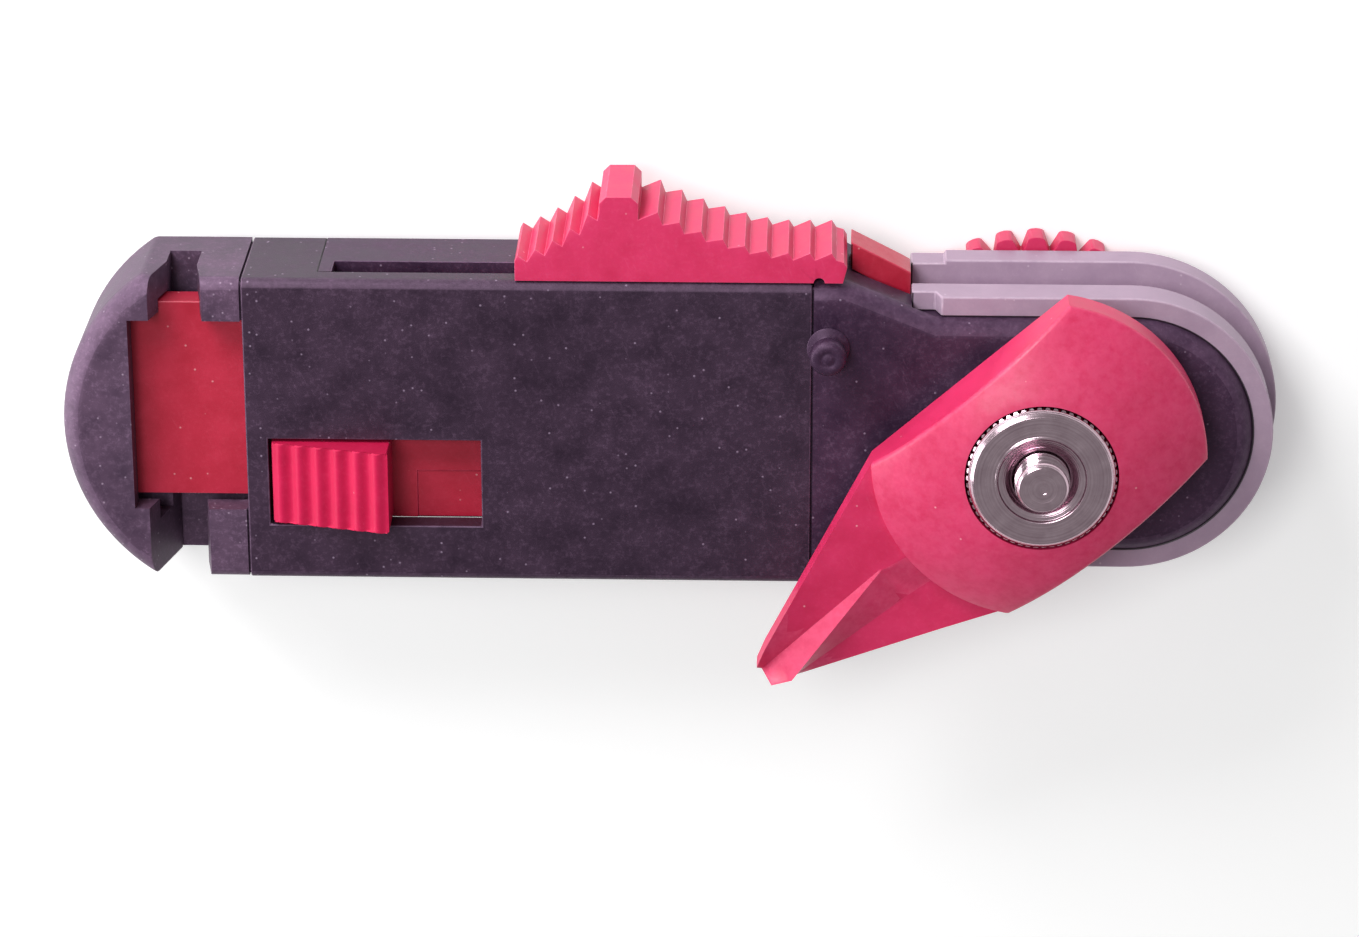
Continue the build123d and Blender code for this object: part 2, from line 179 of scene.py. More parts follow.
def mouldedPlastic(name, dark, light, edge, speck, gloss, mottle, speckShare, wearAndHighlightShare=0.6,
                   grainDepth=0.006 * mm, **fixed):
    look = Finish(name)
    cloud = look.noise(plastic["patchSize"], 5.0, 0.62)
    broad = look.noise(plastic["patchSize"] * 5, 2.0)
    fine = look.noise(plastic["mottleSize"], 4.0, 0.7)
    grain = look.noise(plastic["grainSize"], 2.0, 0.5)
    patches = look.span(cloud * 0.6 + broad * 0.4, 0.36, 0.64)
    dusty = look.span(fine, 0.5, 0.72) * look.span(broad * 0.5 + cloud * 0.5, 0.38, 0.62, 0.35, 1.0)
    dots = look.specks(plastic["speckCell"], plastic["speckSize"], speckShare)
    drawn = look.stretched((1.0, plastic["scuffLength"], 1.0), plastic["scuffAngle"])
    scuffs = look.span(look.noise(plastic["scuffSize"], 4.0, 0.7, drawn), 0.62, 0.74)
    paleEdgeBreakup = look.noise(plastic["patchSize"] * 0.3, 5.0, 0.65)
    # pale edges: partly real wear, partly a painted highlight where edges catch the light
    wearAndHighlightMask = look.attribute("wearAndHighlight") * look.span(paleEdgeBreakup, 0.32, 0.6, 0.25, 1.0)
    seam = look.attribute("seam")
    colour = look.blend(patches, dark, light)
    colour = look.blend(dusty * mottle, colour, edge)
    colour = look.blend(scuffs * plastic["scuffStrength"], colour, edge)
    colour = look.blend(wearAndHighlightMask * wearAndHighlightShare, colour, edge)
    colour = look.blend(dots * plastic["speckStrength"], colour, speck)
    # painted shade: edges against another piece are darkened nearly to black
    colour = look.blend(seam * plastic["seamShade"], colour, tuple(0.12 * c for c in dark))
    rough = patches * 0.12 + scuffs * 0.12 + dusty * 0.1 - wearAndHighlightMask * 0.06 + gloss
    height = grain + cloud * 0.8 - scuffs * 0.6 + dots * 1.2 + fine * 0.5
    return look.finish(colour, rough, look.bump(height, grainDepth), **fixed)


metal = {
    "ringPitch": 0.13 * mm,  # tool marks left by the lathe
    "ringDepth": 0.0022 * mm,
    "wobbleSize": 0.5 * mm,
    "wobbleShare": 0.35,  # of the pitch
    "streakSize": 0.05 * mm,  # marks of drawing or grinding, where there is no lathe centre
    "streakLength": 14.0,
    "cloudSize": 1.2 * mm,
    "spotCell": 0.5 * mm,
    "spotSize": 0.2,
    "spotShare": 0.14,
    # painted shade where two pieces meet
    "seamShade": 0.7,
}


def turnedMetal(name, colour, tint, gloss, centre=None):
    look = Finish(name)
    pitch = metal["ringPitch"]
    if centre:
        radius = look.radius(centre)
        wobble = look.noise(metal["wobbleSize"], 2.0) * (metal["wobbleShare"] * pitch)
        rings = ((radius + wobble) * (2 * math.pi / pitch)).math("SINE", 0)
        outward = {"W": radius * (1 / pitch), "Scale": 1.0}
        lines = look.add("ShaderNodeTexNoise", {"noise_dimensions": "1D"}, outward)
    else:
        rings = look.noise(metal["streakSize"], 2.0, 0.5, look.stretched((1.0, metal["streakLength"], 1.0)))
        lines = rings
    cloud = look.noise(metal["cloudSize"], 4.0, 0.6)
    spots = look.specks(metal["spotCell"], metal["spotSize"], metal["spotShare"])
    shade = look.blend(look.span(cloud * 0.6 + lines * 0.4, 0.3, 0.7), tint, colour)
    shade = look.blend(spots * 0.4, shade, tuple(0.35 * c for c in tint))
    # painted shade: edges against another piece are darkened
    shade = look.blend(look.attribute("seam") * metal["seamShade"], shade, tuple(0.15 * c for c in tint))
    rough = look.span(cloud * 0.5 + lines * 0.5, 0.3, 0.7, gloss - 0.06, gloss + 0.1) + spots * 0.2
    return look.finish(shade, rough, look.bump(rings, metal["ringDepth"]), Metallic=1.0)


finishes = {
    "black_plastic": mouldedPlastic(
        "blackMoulding", (0.017, 0.006, 0.021), (0.046, 0.02, 0.047), (0.2, 0.115, 0.2), (0.4, 0.3, 0.42),
        0.43, mottle=0.34, speckShare=0.2, wearAndHighlightShare=0.5, grainDepth=0.008 * mm,
        Specular_Tint=(1.0, 0.68, 0.98, 1.0),
    ),
    "front_cover": mouldedPlastic(
        "caseMoulding", (0.012, 0.005, 0.014), (0.036, 0.018, 0.037), (0.17, 0.1, 0.17), (0.4, 0.3, 0.42),
        0.43, mottle=0.36, speckShare=0.2, wearAndHighlightShare=0.5, grainDepth=0.008 * mm,
        Specular_Tint=(1.0, 0.72, 0.98, 1.0),
    ),
    # a lighter copy of the black moulding: painted light where the lamp on the left falls strongest
    "nose_block": mouldedPlastic(
        "noseMouldingLitFromLeft", (0.04, 0.022, 0.043), (0.1, 0.056, 0.098), (0.26, 0.16, 0.26), (0.45, 0.34, 0.45),
        0.46, mottle=0.5, speckShare=0.4, wearAndHighlightShare=0.5, grainDepth=0.01 * mm,
        Specular_Tint=(1.0, 0.72, 0.98, 1.0),
    ),
    "black_inner": mouldedPlastic(
        "innerMoulding", (0.018, 0.015, 0.02), (0.03, 0.026, 0.033), (0.1, 0.09, 0.11), (0.2, 0.18, 0.2),
        0.5, mottle=0.2, speckShare=0.04,
    ),
    "grey_plastic": mouldedPlastic(
        "greyMoulding", (0.34, 0.235, 0.33), (0.41, 0.29, 0.39), (0.58, 0.44, 0.55), (0.65, 0.52, 0.62),
        0.44, mottle=0.16, speckShare=0.05, wearAndHighlightShare=0.5,
    ),
    "red_plastic": mouldedPlastic(
        "redMoulding", (0.56, 0.014, 0.082), (0.66, 0.022, 0.115), (0.84, 0.14, 0.28), (0.9, 0.5, 0.55),
        0.38, mottle=0.13, speckShare=0.05, wearAndHighlightShare=0.55, grainDepth=0.004 * mm,
        Subsurface_Weight=0.1, Subsurface_Radius=(0.0012, 0.0004, 0.0004),
    ),
    # a darker copy of the red moulding: painted shade on the button, darker than the other red pieces
    "gate_button": mouldedPlastic(
        "buttonMouldingShaded", (0.5, 0.008, 0.055), (0.6, 0.012, 0.075), (0.84, 0.14, 0.28), (0.9, 0.5, 0.55),
        0.42, mottle=0.08, speckShare=0.05, wearAndHighlightShare=0.75, grainDepth=0.004 * mm,
        Specular_Tint=(1.0, 0.35, 0.5, 1.0),
    ),
    "red_deep": mouldedPlastic(
        "deepRedMoulding", (0.4, 0.008, 0.03), (0.5, 0.014, 0.048), (0.7, 0.08, 0.15), (0.8, 0.4, 0.42),
        0.34, mottle=0.12, speckShare=0.09, wearAndHighlightShare=0.4,
    ),
    "nickel": turnedMetal("nickelPlate", (0.78, 0.6, 0.68), (0.56, 0.4, 0.47), 0.17, tuple(axle)),
    "blade_steel": turnedMetal("groundSteel", (0.6, 0.6, 0.62), (0.45, 0.45, 0.47), 0.28),
    "spring_steel": turnedMetal("springWire", (0.52, 0.52, 0.54), (0.4, 0.4, 0.42), 0.3),
    "screw_steel": turnedMetal("zincPlate", (0.5, 0.5, 0.5), (0.36, 0.36, 0.37), 0.36),
    "bush_brass": turnedMetal("turnedBrass", (0.72, 0.52, 0.24), (0.5, 0.36, 0.17), 0.3, tuple(axle)),
}
print("finishes made:", len(finishes))


def finishOf(node):
    return finishes.get(node, finishes[slotOf[node]])


for node, thing in cadNodes.items():
    thing.data.materials.clear()
    thing.data.materials.append(finishOf(node))


def settle(thing, name, body, replaced):
    thing.name = name
    thing.data.name = name
    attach(thing, body)
    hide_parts(*replaced)
    return thing


def plainMesh(thing):
    bpy.context.view_layer.update()
    seen = thing.evaluated_get(bpy.context.evaluated_depsgraph_get())
    mesh = bpy.data.meshes.new_from_object(seen)
    thing.modifiers.clear()
    thing.data = mesh
    return thing


def linked(mesh, name):
    thing = bpy.data.objects.new(name, mesh)
    bpy.context.scene.collection.objects.link(thing)
    return thing


def evenNormals(thing):
    for face in thing.data.polygons:
        face.use_smooth = True
    modifier = thing.modifiers.new("even", "WEIGHTED_NORMAL")
    modifier.weight = 60
    modifier.keep_sharp = True
    return plainMesh(thing)


def cadTree(node):
    mesh = cadNodes[node].data
    return BVHTree.FromPolygons([v.co for v in mesh.vertices], [tuple(p.vertices) for p in mesh.polygons])


cadTrees = {node: cadTree(node) for node in cadNodes}


def touching(node, place, reach):
    others = (tree for other, tree in cadTrees.items() if other != node)
    return any(tree.find_nearest(place, reach)[0] is not None for tree in others)


# The straight edges of a moulding get a small radius. An edge against another piece is
# a seam and gets painted shade. Any other edge is painted pale, partly wear and partly a painted highlight, and so
# are small slanting faces.
softEdges = {
    "front_cover": 0.1 * mm,
    "nose_block": 0.16 * mm,
    "top_rail": 0.05 * mm,
    "back_cover": 0.1 * mm,
    "head_front_plate": 0.1 * mm,
    "head_back_plate": 0.1 * mm,
    "guide_rim": 0.2 * mm,
    "ramp_block": 0.1 * mm,
    "gate_plate": 0.08 * mm,
    "thumb_slide": 0.1 * mm,
    "beak_lever": 0.13 * mm,
    "lever_spacer": 0.08 * mm,
    "nut_washer": 0.05 * mm,
}
edgeRule = {
    "sharpFrom": 33,
    "steps": 3,
    "reach": 0.17 * mm,  # a new edge this near to another piece is a seam
    "roundingWearAndHighlight": 0.45,
    "rubbedAndHighlitBelow": 20 * mm * mm,
    "slantFrom": 0.2,
    "leanFrom": 0.15,  # upright walls get no pale wear or painted highlight
    "rubbedAndHighlitWalls": ["ramp_block"],
    "weldWithin": 0.002 * mm,
    "flatWithin": 0.4,
}


def bevelled(bm, edges, offset, steps):
    made = bmesh.ops.bevel(
        bm, geom=edges, offset=offset, segments=steps, profile=0.5, affect="EDGES", clamp_overlap=True
    )
    return made["faces"]


def softened(node, radius):
    bm = bmesh.new()
    bm.from_mesh(cadNodes[node].data)
    bmesh.ops.remove_doubles(bm, verts=bm.verts, dist=edgeRule["weldWithin"])
    flat = math.radians(edgeRule["flatWithin"])
    bmesh.ops.dissolve_limit(bm, angle_limit=flat, verts=bm.verts, edges=bm.edges)
    wearAndHighlight = bm.faces.layers.float.new("wearAndHighlight")
    seam = bm.faces.layers.float.new("seam")
    # small slanting faces are painted pale: partly wear, partly a painted highlight
    for face in bm.faces:
        slant = sorted(abs(part) for part in face.normal)[1]
        leaning = abs(face.normal.z) > edgeRule["leanFrom"] or node in edgeRule["rubbedAndHighlitWalls"]
        rubbedAndHighlit = leaning and slant > edgeRule["slantFrom"] and face.calc_area() < edgeRule["rubbedAndHighlitBelow"]
        face[wearAndHighlight] = edgeRule["roundingWearAndHighlight"] if rubbedAndHighlit else 0.0
    limit = math.radians(edgeRule["sharpFrom"])
    corners = [e for e in bm.edges if len(e.link_faces) == 2 and e.calc_face_angle(0) > limit]
    # free bevelled edges are painted pale, partly wear and partly a painted highlight
    for face in bevelled(bm, corners, radius, edgeRule["steps"]):
        # an edge against another piece gets painted shade instead
        met = touching(node, face.calc_center_median(), edgeRule["reach"])
        face[wearAndHighlight] = 0.0 if met else 1.0
        face[seam] = 1.0 if met else 0.0
    bmesh.ops.triangulate(bm, faces=[f for f in bm.faces if len(f.verts) > 4])
    mesh = bpy.data.meshes.new(node)
    bm.to_mesh(mesh)
    bm.free()
    mesh.materials.append(finishOf(node))
    thing = evenNormals(linked(mesh, node + "Soft"))
    return settle(thing, node + "Soft", bodyOf[node], [node])


for node, radius in softEdges.items():
    softened(node, radius)
print("mouldings softened:", len(softEdges))


def tidied(bm, name):
    bmesh.ops.recalc_face_normals(bm, faces=bm.faces)
    mesh = bpy.data.meshes.new(name)
    bm.to_mesh(mesh)
    bm.free()
    return mesh


# A profile is a list of radii and heights in mm, turned about the axle.
def spun(profile, steps, closed=False):
    bm = bmesh.new()
    rings = []
    for radius, height in profile:
        reach = radius * mm
        turns = [2 * math.pi * k / steps for k in range(steps if radius > 0 else 1)]
        rings.append([
            bm.verts.new((axle.x + reach * math.cos(a), axle.y + reach * math.sin(a), height * mm))
            for a in turns
        ])
    if closed:
        rings.append(rings[0])
    for lower, upper in zip(rings, rings[1:]):
        for k in range(steps):
            after = (k + 1) % steps
            corners = [lower[k % len(lower)], lower[after % len(lower)],
                       upper[after % len(upper)], upper[k % len(upper)]]
            bm.faces.new(list(dict.fromkeys(corners)))
    return tidied(bm, "spun")


def raised(outline, low, high):
    bm = bmesh.new()
    foot = [bm.verts.new((x * mm, y * mm, low * mm)) for x, y in outline]
    top = [bm.verts.new((x * mm, y * mm, high * mm)) for x, y in outline]
    bm.faces.new(foot)
    bm.faces.new(top)
    for k, vert in enumerate(foot):
        after = (k + 1) % len(foot)
        bm.faces.new((vert, foot[after], top[after], top[k]))
    return bm


def nodeGroup(name, inputs):
    tree = bpy.data.node_groups.new(name, "GeometryNodeTree")
    tree.interface.new_socket("Geometry", in_out="OUTPUT", socket_type="NodeSocketGeometry")
    for label, kind in inputs.items():
        tree.interface.new_socket(label, in_out="INPUT", socket_type="NodeSocket" + kind)
    entry = tree.nodes.new("NodeGroupInput")
    return tree, {label: Wire(entry.outputs[label]) for label in inputs}


def endGroup(tree, geometry, finish):
    whole = Wire.add(tree, "GeometryNodeRealizeInstances", None, {"Geometry": geometry})
    coated = Wire.add(tree, "GeometryNodeSetMaterial", None, {"Geometry": whole, "Material": finish})
    leave = tree.nodes.new("NodeGroupOutput")
    tree.links.new(coated.socket, leave.inputs["Geometry"])
    return tree


def ringOfCopies():
    kinds = {
        "Geometry": "Geometry", "Shape": "Object", "Count": "Int", "Centre": "Vector", "Finish": "Material",
    }
    tree, given = nodeGroup("ringOfCopies", kinds)
    shape = Wire.add(tree, "GeometryNodeObjectInfo", None, {"Object": given["Shape"]}, "Geometry")
    dots = Wire.add(tree, "GeometryNodeMeshLine", {"mode": "OFFSET"},
                    {"Count": given["Count"], "Offset": (0, 0, 0)})
    turn = Wire.add(tree, "GeometryNodeInputIndex") * (2 * math.pi / given["Count"])
    spin = Wire.add(tree, "ShaderNodeCombineXYZ", None, {"Z": turn})
    copies = Wire.add(tree, "GeometryNodeInstanceOnPoints", None,
                      {"Points": dots, "Instance": shape, "Rotation": spin})
    placed = Wire.add(tree, "GeometryNodeTransform", None,
                      {"Geometry": copies, "Translation": given["Centre"]})
    both = Wire.add(tree, "GeometryNodeJoinGeometry", None, {"Geometry": [placed, given["Geometry"]]})
    return endGroup(tree, both, given["Finish"])


def copiesOnPlaces():
    kinds = {"Geometry": "Geometry", "Shape": "Object", "Finish": "Material"}
    tree, given = nodeGroup("copiesOnPlaces", kinds)
    shape = Wire.add(tree, "GeometryNodeObjectInfo", None, {"Object": given["Shape"]}, "Geometry")
    spin = Wire.add(tree, "FunctionNodeRandomValue", {"data_type": "FLOAT_VECTOR"},
                    {0: (0, 0, 0), 1: (0, 0, 2 * math.pi), "Seed": 5})
    copies = Wire.add(tree, "GeometryNodeInstanceOnPoints", None,
                      {"Points": given["Geometry"], "Instance": shape, "Rotation": spin})
    return endGroup(tree, copies, given["Finish"])


def woundHelix():
    kinds = {"Geometry": "Geometry", "Radius": "Float", "Section": "Float", "Sides": "Int", "Turns": "Float",
             "Height": "Float", "Lean": "Vector", "Start": "Vector", "Finish": "Material"}
    tree, given = nodeGroup("woundHelix", kinds)
    values = {"Resolution": 36, "Rotations": given["Turns"], "Start Radius": given["Radius"],
              "End Radius": given["Radius"], "Height": given["Height"]}
    spiral = Wire.add(tree, "GeometryNodeCurveSpiral", None, values)
    upright = Wire.add(tree, "GeometryNodeSetCurveNormal", {"mode": "Z_UP"}, {"Curve": spiral})
    section = Wire.add(tree, "GeometryNodeCurvePrimitiveCircle", {"mode": "RADIUS"},
                       {"Resolution": given["Sides"], "Radius": given["Section"]})
    swept = Wire.add(tree, "GeometryNodeCurveToMesh", None,
                     {"Curve": upright, "Profile Curve": section, "Fill Caps": True})
    placed = Wire.add(tree, "GeometryNodeTransform", None,
                      {"Geometry": swept, "Translation": given["Start"], "Rotation": given["Lean"]})
    both = Wire.add(tree, "GeometryNodeJoinGeometry", None, {"Geometry": [placed, given["Geometry"]]})
    return endGroup(tree, both, given["Finish"])


def grown(mesh, name, tree, values):
    thing = linked(mesh, name)
    modifier = thing.modifiers.new("pattern", "NODES")
    modifier.node_group = tree
    for item in tree.interface.items_tree:
        if item.in_out == "INPUT" and item.name in values:
            modifier[item.identifier] = values[item.name]
    return plainMesh(thing)


def sharpened(thing, angle):
    for face in thing.data.polygons:
        face.use_smooth = True
    thing.data.set_sharp_from_angle(angle=math.radians(angle))
    return evenNormals(thing)


ringTree = ringOfCopies()
helixTree = woundHelix()

nut = {
    "knurls": 58,
    "root": 5.26,
    "crest": 5.4,
    "sunk": 0.05,  # how far a knurl reaches into the nut
    "tipRound": 0.02,
    "low": 17.98,
    "high": 19.78,
    "lowChamfer": 0.1,
    "highChamfer": 0.16,
    "halfAngle": 2.5,
    "faceEdge": 4.86,
}


def knurlShape():
    root, crest = nut["root"] - nut["sunk"], nut["crest"]
    shoulder = crest - nut["tipRound"]
    spread = root * math.sin(math.radians(nut["halfAngle"]))
    outline = [
        (root, -spread), (shoulder, -0.5 * spread), (crest, 0), (shoulder, 0.5 * spread), (root, spread),
    ]
    bm = raised(outline, nut["low"], nut["high"])
    middle = (nut["low"] + nut["high"]) / 2 * mm
    for vert in bm.verts:  # the ends follow the nut's chamfers
        reach = (vert.co.x / mm - root) / (crest - root)
        vert.co.z += (-nut["highChamfer"] if vert.co.z > middle else nut["lowChamfer"]) * reach * mm
    return linked(tidied(bm, "knurl"), "knurl")


def nutCore():
    root = nut["root"]
    profile = [
        (2.05, 17.85), (4.85, 17.85), (4.95, 17.88), (root - 0.04, 18.02), (root, 18.08), (root, 19.74),
        (root - 0.01, 19.78), (nut["faceEdge"] + 0.03, 20.15), (nut["faceEdge"], 20.17), (4.82, 20.18),
        (4.78, 20.18), (3.44, 20.18), (3.4, 20.18),
        (3.34, 20.22), (3.28, 20.26), (3.21, 20.26), (3.15, 20.22), (3.1, 20.1), (3.02, 20.08), (2.62, 20.05),
        (2.56, 20.02), (2.5, 19.92), (2.44, 19.86), (2.24, 19.8), (2.18, 19.72), (2.14, 19.5), (2.05, 19.4),
    ]
    return spun(profile, 174, closed=True)


knurl = knurlShape()
nutPiece = grown(nutCore(), "knurledNut", ringTree, {
    "Shape": knurl, "Count": nut["knurls"], "Centre": tuple(axle), "Finish": finishes["nickel"],
})
settle(sharpened(nutPiece, 38), "knurledNutTurned", "nut", ["knurled_nut"])
bpy.data.objects.remove(knurl)
print("nut knurled")

stud = {
    "threadFrom": 16.4,
    "threadTo": 21.22,
    "pitch": 0.7,
    "root": 1.56,
    "proud": 0.01,
    "ridge": 0.4,
    "sides": 4,
}


def studCore():
    root = stud["root"]
    profile = [
        (0, 0.36), (0.5, 0.34), (0.6, 0.3), (1.9, 0.3), (1.98, 0.33), (2.06, 0.3), (3.38, 0.3), (3.46, 0.33),
        (3.5, 0.4), (3.5, 1.2), (2.0, 1.2), (2.0, 16.1), (root, 16.35), (root, 21.3), (1.86, 21.4),
        (1.9, 21.44), (1.88, 21.5), (1.7, 21.74), (1.66, 21.78), (1.6, 21.8), (0.98, 21.8), (0.93, 21.785),
        (0.76, 21.785), (0.7, 21.795), (0.4, 21.79), (0.36, 21.77), (0.3, 21.76), (0.12, 21.745), (0, 21.74),
    ]
    return spun(profile, 96)


height = stud["threadTo"] - stud["threadFrom"]
studPiece = grown(studCore(), "axleStud", helixTree, {
    "Radius": (stud["root"] + stud["proud"]) * mm, "Section": stud["ridge"] * mm, "Sides": stud["sides"],
    "Turns": height / stud["pitch"], "Height": height * mm,
    "Start": (axle.x, axle.y, stud["threadFrom"] * mm), "Finish": finishes["nickel"],
})
settle(sharpened(studPiece, 30), "axleStudThreaded", "rotor", ["axle_stud"])
print("stud threaded")

wheel = {
    "teeth": 32,
    "tip": 12.08,
    "root": 10.76,
    "tipGap": 0.66,  # half of the space between two teeth
    "rootGap": 0.03,
    "sunk": 0.4,
    "bevel": 0.06,
    "low": 0.2,
    "high": 2.4,
}


def toothShape():
    pitch = 2 * math.pi / wheel["teeth"]
    tip, root = wheel["tip"], wheel["root"]
    flat = 0.5 * pitch - wheel["tipGap"] / tip
    foot = 0.5 * pitch - wheel["rootGap"] / root
    spots = [  # radius and angle of one flank, from the foot to the middle of the tip
        (root - wheel["sunk"], foot), (root, foot), (tip - 0.15, flat + 0.008), (tip - 0.05, flat - 0.004),
        (tip, flat - 0.02), (tip + 0.01, 0.0),
    ]
    half = [(r * math.cos(a), r * math.sin(a)) for r, a in spots]
    outline = half + [(x, -y) for x, y in reversed(half[:-1])]
    bm = raised(outline, wheel["low"], wheel["high"])
    rims = [e for e in bm.edges if abs(e.verts[0].co.z - e.verts[1].co.z) < 0.01 * mm and
            min(v.co.x for v in e.verts) > (root - 0.1) * mm]
    bevelled(bm, rims, wheel["bevel"] * mm, 2)
    return linked(tidied(bm, "tooth"), "tooth")


def wheelDisc():
    low, high, edge = wheel["low"], wheel["high"], wheel["root"] + 0.02
    profile = [
        (2.0, high), (2.0, 1.2), (3.5, 1.2), (3.5, low + 0.1), (3.6, low), (4.6, low), (4.75, low + 0.12),
        (9.6, low + 0.12), (9.75, low), (edge - 0.14, low), (edge - 0.04, low + 0.03), (edge, low + 0.12),
        (edge, high - 0.12), (edge - 0.04, high - 0.03), (edge - 0.14, high),
    ]
    return spun(profile, 128, closed=True)


tooth = toothShape()
wheelPiece = grown(wheelDisc(), "toothedWheel", ringTree, {
    "Shape": tooth, "Count": wheel["teeth"], "Centre": tuple(axle), "Finish": finishes["red_plastic"],
})
settle(sharpened(wheelPiece, 40), "toothedWheelMoulded", "rotor", ["toothed_wheel"])
bpy.data.objects.remove(tooth)
print("wheel toothed")

screw = {
    "head": 1.38,
    "face": 0.16,
    "shank": 0.75,
    "neckAt": 0.95,
    "end": 5.2,
    "sides": 40,
    "crossArm": 0.82,
    "crossWidth": 0.19,
    "crossDepth": 0.5,
    "crossTaper": 0.5,
}


def screwCentres():
    bm = bmesh.new()
    bm.from_mesh(cadNodes["back_screws"].data)
    bmesh.ops.remove_doubles(bm, verts=bm.verts, dist=edgeRule["weldWithin"])
    left = set(bm.verts)
    centres = []
    while left:
        group, queue = set(), [left.pop()]
        while queue:
            vert = queue.pop()
            group.add(vert)
            near = {e.other_vert(vert) for e in vert.link_edges} & left
            left -= near
            queue.extend(near)
        xs = [v.co.x for v in group]
        ys = [v.co.y for v in group]
        centres.append(((min(xs) + max(xs)) / 2, (min(ys) + max(ys)) / 2, 0.0))
    bm.free()
    return sorted(centres)


def screwShape():
    bm = bmesh.new()
    head, shank, face = screw["head"], screw["shank"], screw["face"]
    arm, width, taper = screw["crossArm"], screw["crossWidth"], screw["crossTaper"]
    quarter = [(arm, width), (width * 1.5, width * 1.5), (width, arm)]
    cross = []
    for k in range(4):
        c, s = round(math.cos(k * math.pi / 2)), round(math.sin(k * math.pi / 2))
        cross += [(c * x - s * y, s * x + c * y) for x, y in quarter]

    def loop(points, z):
        verts = [bm.verts.new((x * mm, y * mm, z * mm)) for x, y in points]
        return verts, [bm.edges.new((verts[k - 1], verts[k])) for k in range(len(verts))]

    def circle(radius):
        turns = [2 * math.pi * k / screw["sides"] for k in range(screw["sides"])]
        return [(radius * math.cos(a), radius * math.sin(a)) for a in turns]

    mouth, mouthEdges = loop(cross, face)
    rim, rimEdges = loop(circle(head - 0.12), face + 0.01)
    bmesh.ops.triangle_fill(bm, edges=mouthEdges + rimEdges, use_beauty=True)
    floor, _ = loop([(x * taper, y * taper) for x, y in cross], face + screw["crossDepth"])
    bm.faces.new(floor)
    for k in range(len(mouth)):
        bm.faces.new((mouth[k - 1], mouth[k], floor[k], floor[k - 1]))
    last = rim
    sides = ((head - 0.03, face + 0.04), (head, face + 0.11), (shank, screw["neckAt"]), (shank, screw["end"]))
    for radius, z in sides:
        ring, _ = loop(circle(radius), z)
        for k in range(len(ring)):
            bm.faces.new((last[k - 1], last[k], ring[k], ring[k - 1]))
        last = ring
    bm.faces.new(last)
    return linked(tidied(bm, "screw"), "screw")


screwPiece = screwShape()
centres = screwCentres()
seats = bpy.data.meshes.new("screwSeats")
seats.from_pydata(centres, [], [])
screws = grown(seats, "backScrews", copiesOnPlaces(), {
    "Shape": screwPiece, "Finish": finishes["screw_steel"],
})
settle(sharpened(screws, 35), "backScrewsCrossHead", "case", ["back_screws"])
bpy.data.objects.remove(screwPiece)
print("screws set:", len(centres))

post = {"collar": 1.55, "neck": 0.82, "head": 1.33}


def stopPost():
    low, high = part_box("stop_post")
    centre = Vector(((low[0] + high[0]) / 2, (low[1] + high[1]) / 2, 0))
    collar, neck, head = post["collar"], post["neck"], post["head"]
    profile = [
        (0, 11.8), (neck, 11.8), (neck, 12.01), (collar - 0.05, 12.01), (collar, 12.05), (collar, 12.14),
        (collar - 0.1, 12.23), (neck + 0.2, 12.25), (neck + 0.05, 12.4), (neck, 12.6), (neck, 13.15),
        (neck + 0.04, 13.28), (head - 0.16, 13.32), (head - 0.04, 13.37), (head, 13.5), (head, 14.15),
        (head - 0.05, 14.34), (head - 0.2, 14.5), (head - 0.42, 14.56), (0.62, 14.56), (0.56, 14.53),
        (0.42, 14.53), (0.36, 14.56), (0, 14.59),
    ]
    mesh = spun(profile, 72)
    mesh.transform(Matrix.Translation(centre - axle))
    mesh.materials.append(finishes["black_plastic"])
    thing = sharpened(linked(mesh, "stopPost"), 45)
    return settle(thing, "stopPostTurned", "case", ["stop_post"])


stopPost()
print("post turned")

button = {
    "ribs": 6,
    "foot": 11.9,
    "climb": 0.36,  # each rib stands this much higher than the one before
    "wave": 0.36,
    "crest": 0.36,  # share of a rib's pitch from its foot to its crest
    "samples": 10,
    "corner": 0.14,
}


def ribWave(share):
    crest = button["crest"]
    if share < crest:
        return 0.5 - 0.5 * math.cos(math.pi * share / crest)
    return 0.5 + 0.5 * math.cos(math.pi * (share - crest) / (1 - crest))


def ribbedButton():
    low, high = (corner / mm for corner in map(Vector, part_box("gate_button")))
    count = button["ribs"] * button["samples"]
    outline = [(low.x, low.z)]
    for k in range(count + 1):
        rib = k / button["samples"]
        rise = button["climb"] * rib + button["wave"] * ribWave(rib % 1)
        outline.append((low.x + (high.x - low.x) * k / count, button["foot"] + rise))
    outline.append((high.x, low.z))
    bm = raised(outline, -high.y, -low.y)
    bm.transform(Matrix.Rotation(math.radians(90), 4, "X"))
    rims = [e for e in bm.edges if min(v.co.z for v in e.verts) > (button["foot"] - 0.1) * mm and
            abs(e.verts[0].co.y - e.verts[1].co.y) < 0.01 * mm]
    rims += [e for e in bm.edges if abs(e.verts[0].co.z - e.verts[1].co.z) > mm]
    bevelled(bm, rims, button["corner"] * mm, 3)
    thing = linked(tidied(bm, "gateButton"), "gateButton")
    thing.data.materials.append(finishes["gate_button"])
    return settle(sharpened(thing, 40), "gateButtonRibbed", "gate", ["gate_button"])


ribbedButton()
print("button ribbed")

spring = {"turns": 10.0, "wire": 0.17, "sides": 12, "stroke": "gate_open"}


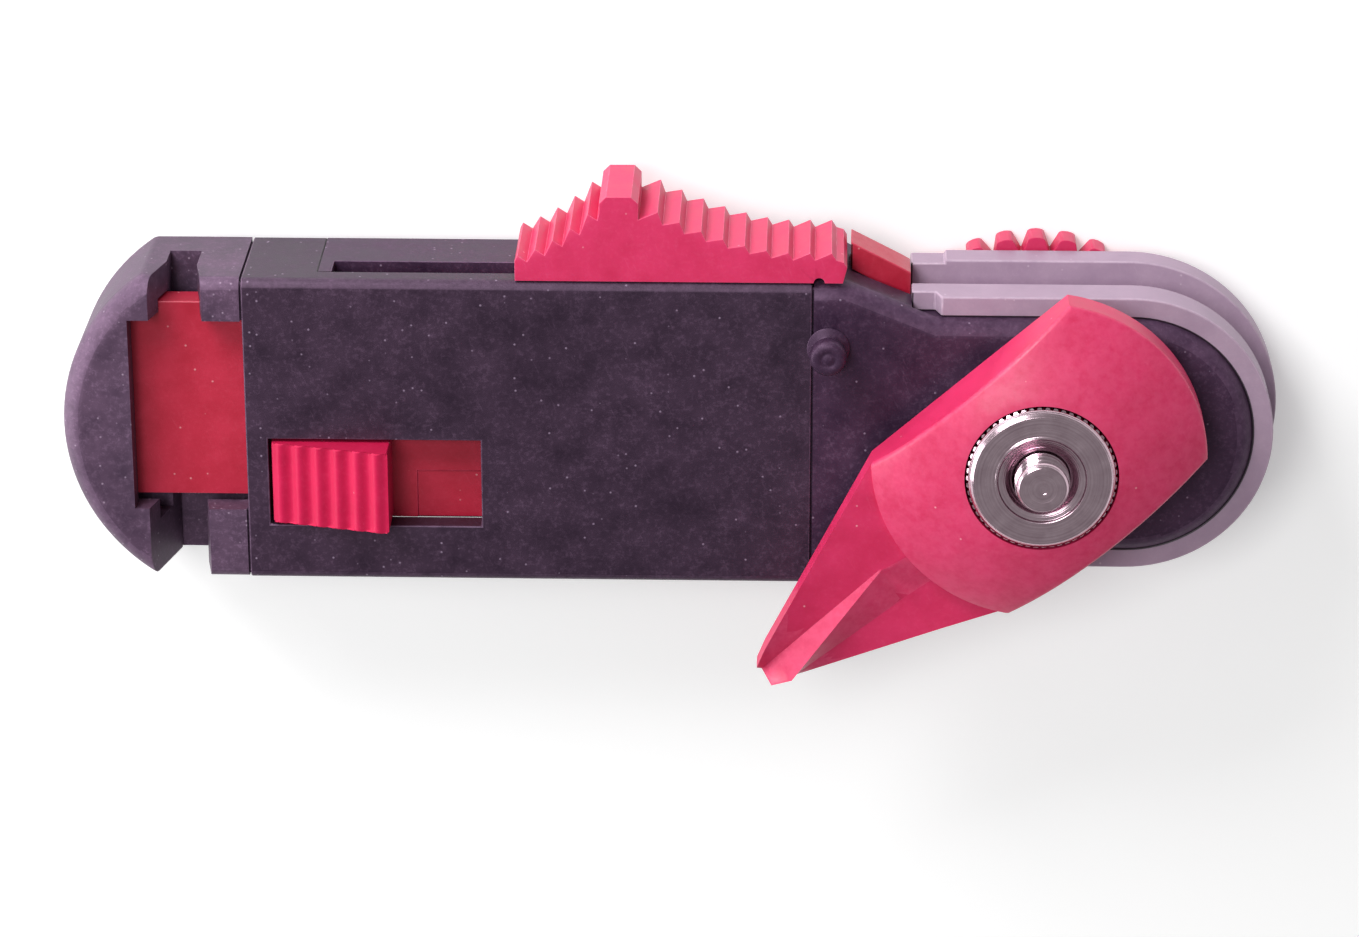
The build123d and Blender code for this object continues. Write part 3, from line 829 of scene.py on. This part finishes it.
def woundSpring():
    low, high = (corner / mm for corner in map(Vector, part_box("gate_spring")))
    wire = spring["wire"]
    length = high.x - low.x - 2 * wire
    start = Vector((low.x + wire, (low.y + high.y) / 2, (low.z + high.z) / 2)) * mm
    piece = grown(bpy.data.meshes.new("gateSpring"), "gateSpring", helixTree, {
        "Radius": ((high.y - low.y) / 2 - wire) * mm, "Section": wire * mm, "Sides": spring["sides"],
        "Turns": spring["turns"], "Height": length * mm, "Lean": (0.0, math.radians(90), 0.0),
        "Start": tuple(start), "Finish": finishes["spring_steel"],
    })
    settle(sharpened(piece, 60), "gateSpringWound", "gate", ["gate_spring"])
    stroke = jointOf[spring["stroke"]]["range_m"][1] / mm
    1 - stroke / (high.x - low.x)
    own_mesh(piece)


woundSpring()
print("spring wound")

studio = {
    "floor": 3.0,
    "floorDrop": 0.02 * mm,
    "floorShade": 0.85,
    "floorRoughness": 0.9,
    "aim": (0.0007, -0.0026, 0.012),
    "distance": 0.3516,
    "tilt": 22.0,
    "turn": 1.7,
    "roll": 0.07,
    "lens": 127.7,
    "sensor": 36,
    "clipStart": 0.01,
    "skyStrength": 0.28,
    "floorGlow": 0.27,
    "keyLight": ((-0.16, 0.26, 0.15), 0.16, 1.0),
    "overLight": ((-0.15, 0.2, 0.6), 0.22, 1.5),
    "leftLight": ((-0.28, -0.02, 0.07), 0.2, 0.55),
}


def pointAt(thing, place, target):
    thing.location = place
    thing.rotation_euler = (Vector(target) - Vector(place)).to_track_quat("-Z", "Y").to_euler()


def softBox(name):
    place, size, power = studio[name]
    light = bpy.data.lights.new(name, "AREA")
    light.shape = "RECTANGLE"
    light.size = size
    light.size_y = size
    light.energy = power
    thing = bpy.data.objects.new(name, light)
    bpy.context.scene.collection.objects.link(thing)
    pointAt(thing, place, (0, 0, 0))


floorLook = Finish("paleFloor").finish(
    rgba([studio["floorShade"]] * 3), studio["floorRoughness"], Emission_Color=(1, 1, 1, 1),
    Emission_Strength=studio["floorGlow"],
)
floorMesh = bpy.data.meshes.new("floor")
half, level = studio["floor"] / 2, -studio["floorDrop"]
floorCorners = [(-half, -half, level), (half, -half, level), (half, half, level), (-half, half, level)]
floorMesh.from_pydata(floorCorners, [], [(0, 1, 2, 3)])
floorMesh.materials.append(floorLook)
linked(floorMesh, "floor")

world = bpy.data.worlds.new("studio")
world.use_nodes = True
world.node_tree.nodes["Background"].inputs["Color"].default_value = (1, 1, 1, 1)
world.node_tree.nodes["Background"].inputs["Strength"].default_value = studio["skyStrength"]
bpy.context.scene.world = world
for light in ("keyLight", "overLight", "leftLight"):
    softBox(light)

tilt, turn = math.radians(studio["tilt"]), math.radians(studio["turn"])
towards = Vector((math.sin(turn) * math.cos(tilt), math.sin(tilt), math.cos(turn) * math.cos(tilt)))
right = Vector((0, 1, 0)).cross(towards).normalized()
right = Matrix.Rotation(math.radians(-studio["roll"]), 3, towards) @ right
up = towards.cross(right)
eye = Vector(studio["aim"]) + towards * studio["distance"]
camera = bpy.data.cameras.new("camera")
camera.lens = studio["lens"]
camera.sensor_width = studio["sensor"]
camera.clip_start = studio["clipStart"]
seat = bpy.data.objects.new("camera", camera)
bpy.context.scene.collection.objects.link(seat)
seat.matrix_world = Matrix.Translation(eye) @ Matrix((right, up, towards)).transposed().to_4x4()
bpy.context.scene.camera = seat
bpy.context.scene.view_settings.view_transform = "Standard"
print("studio set")
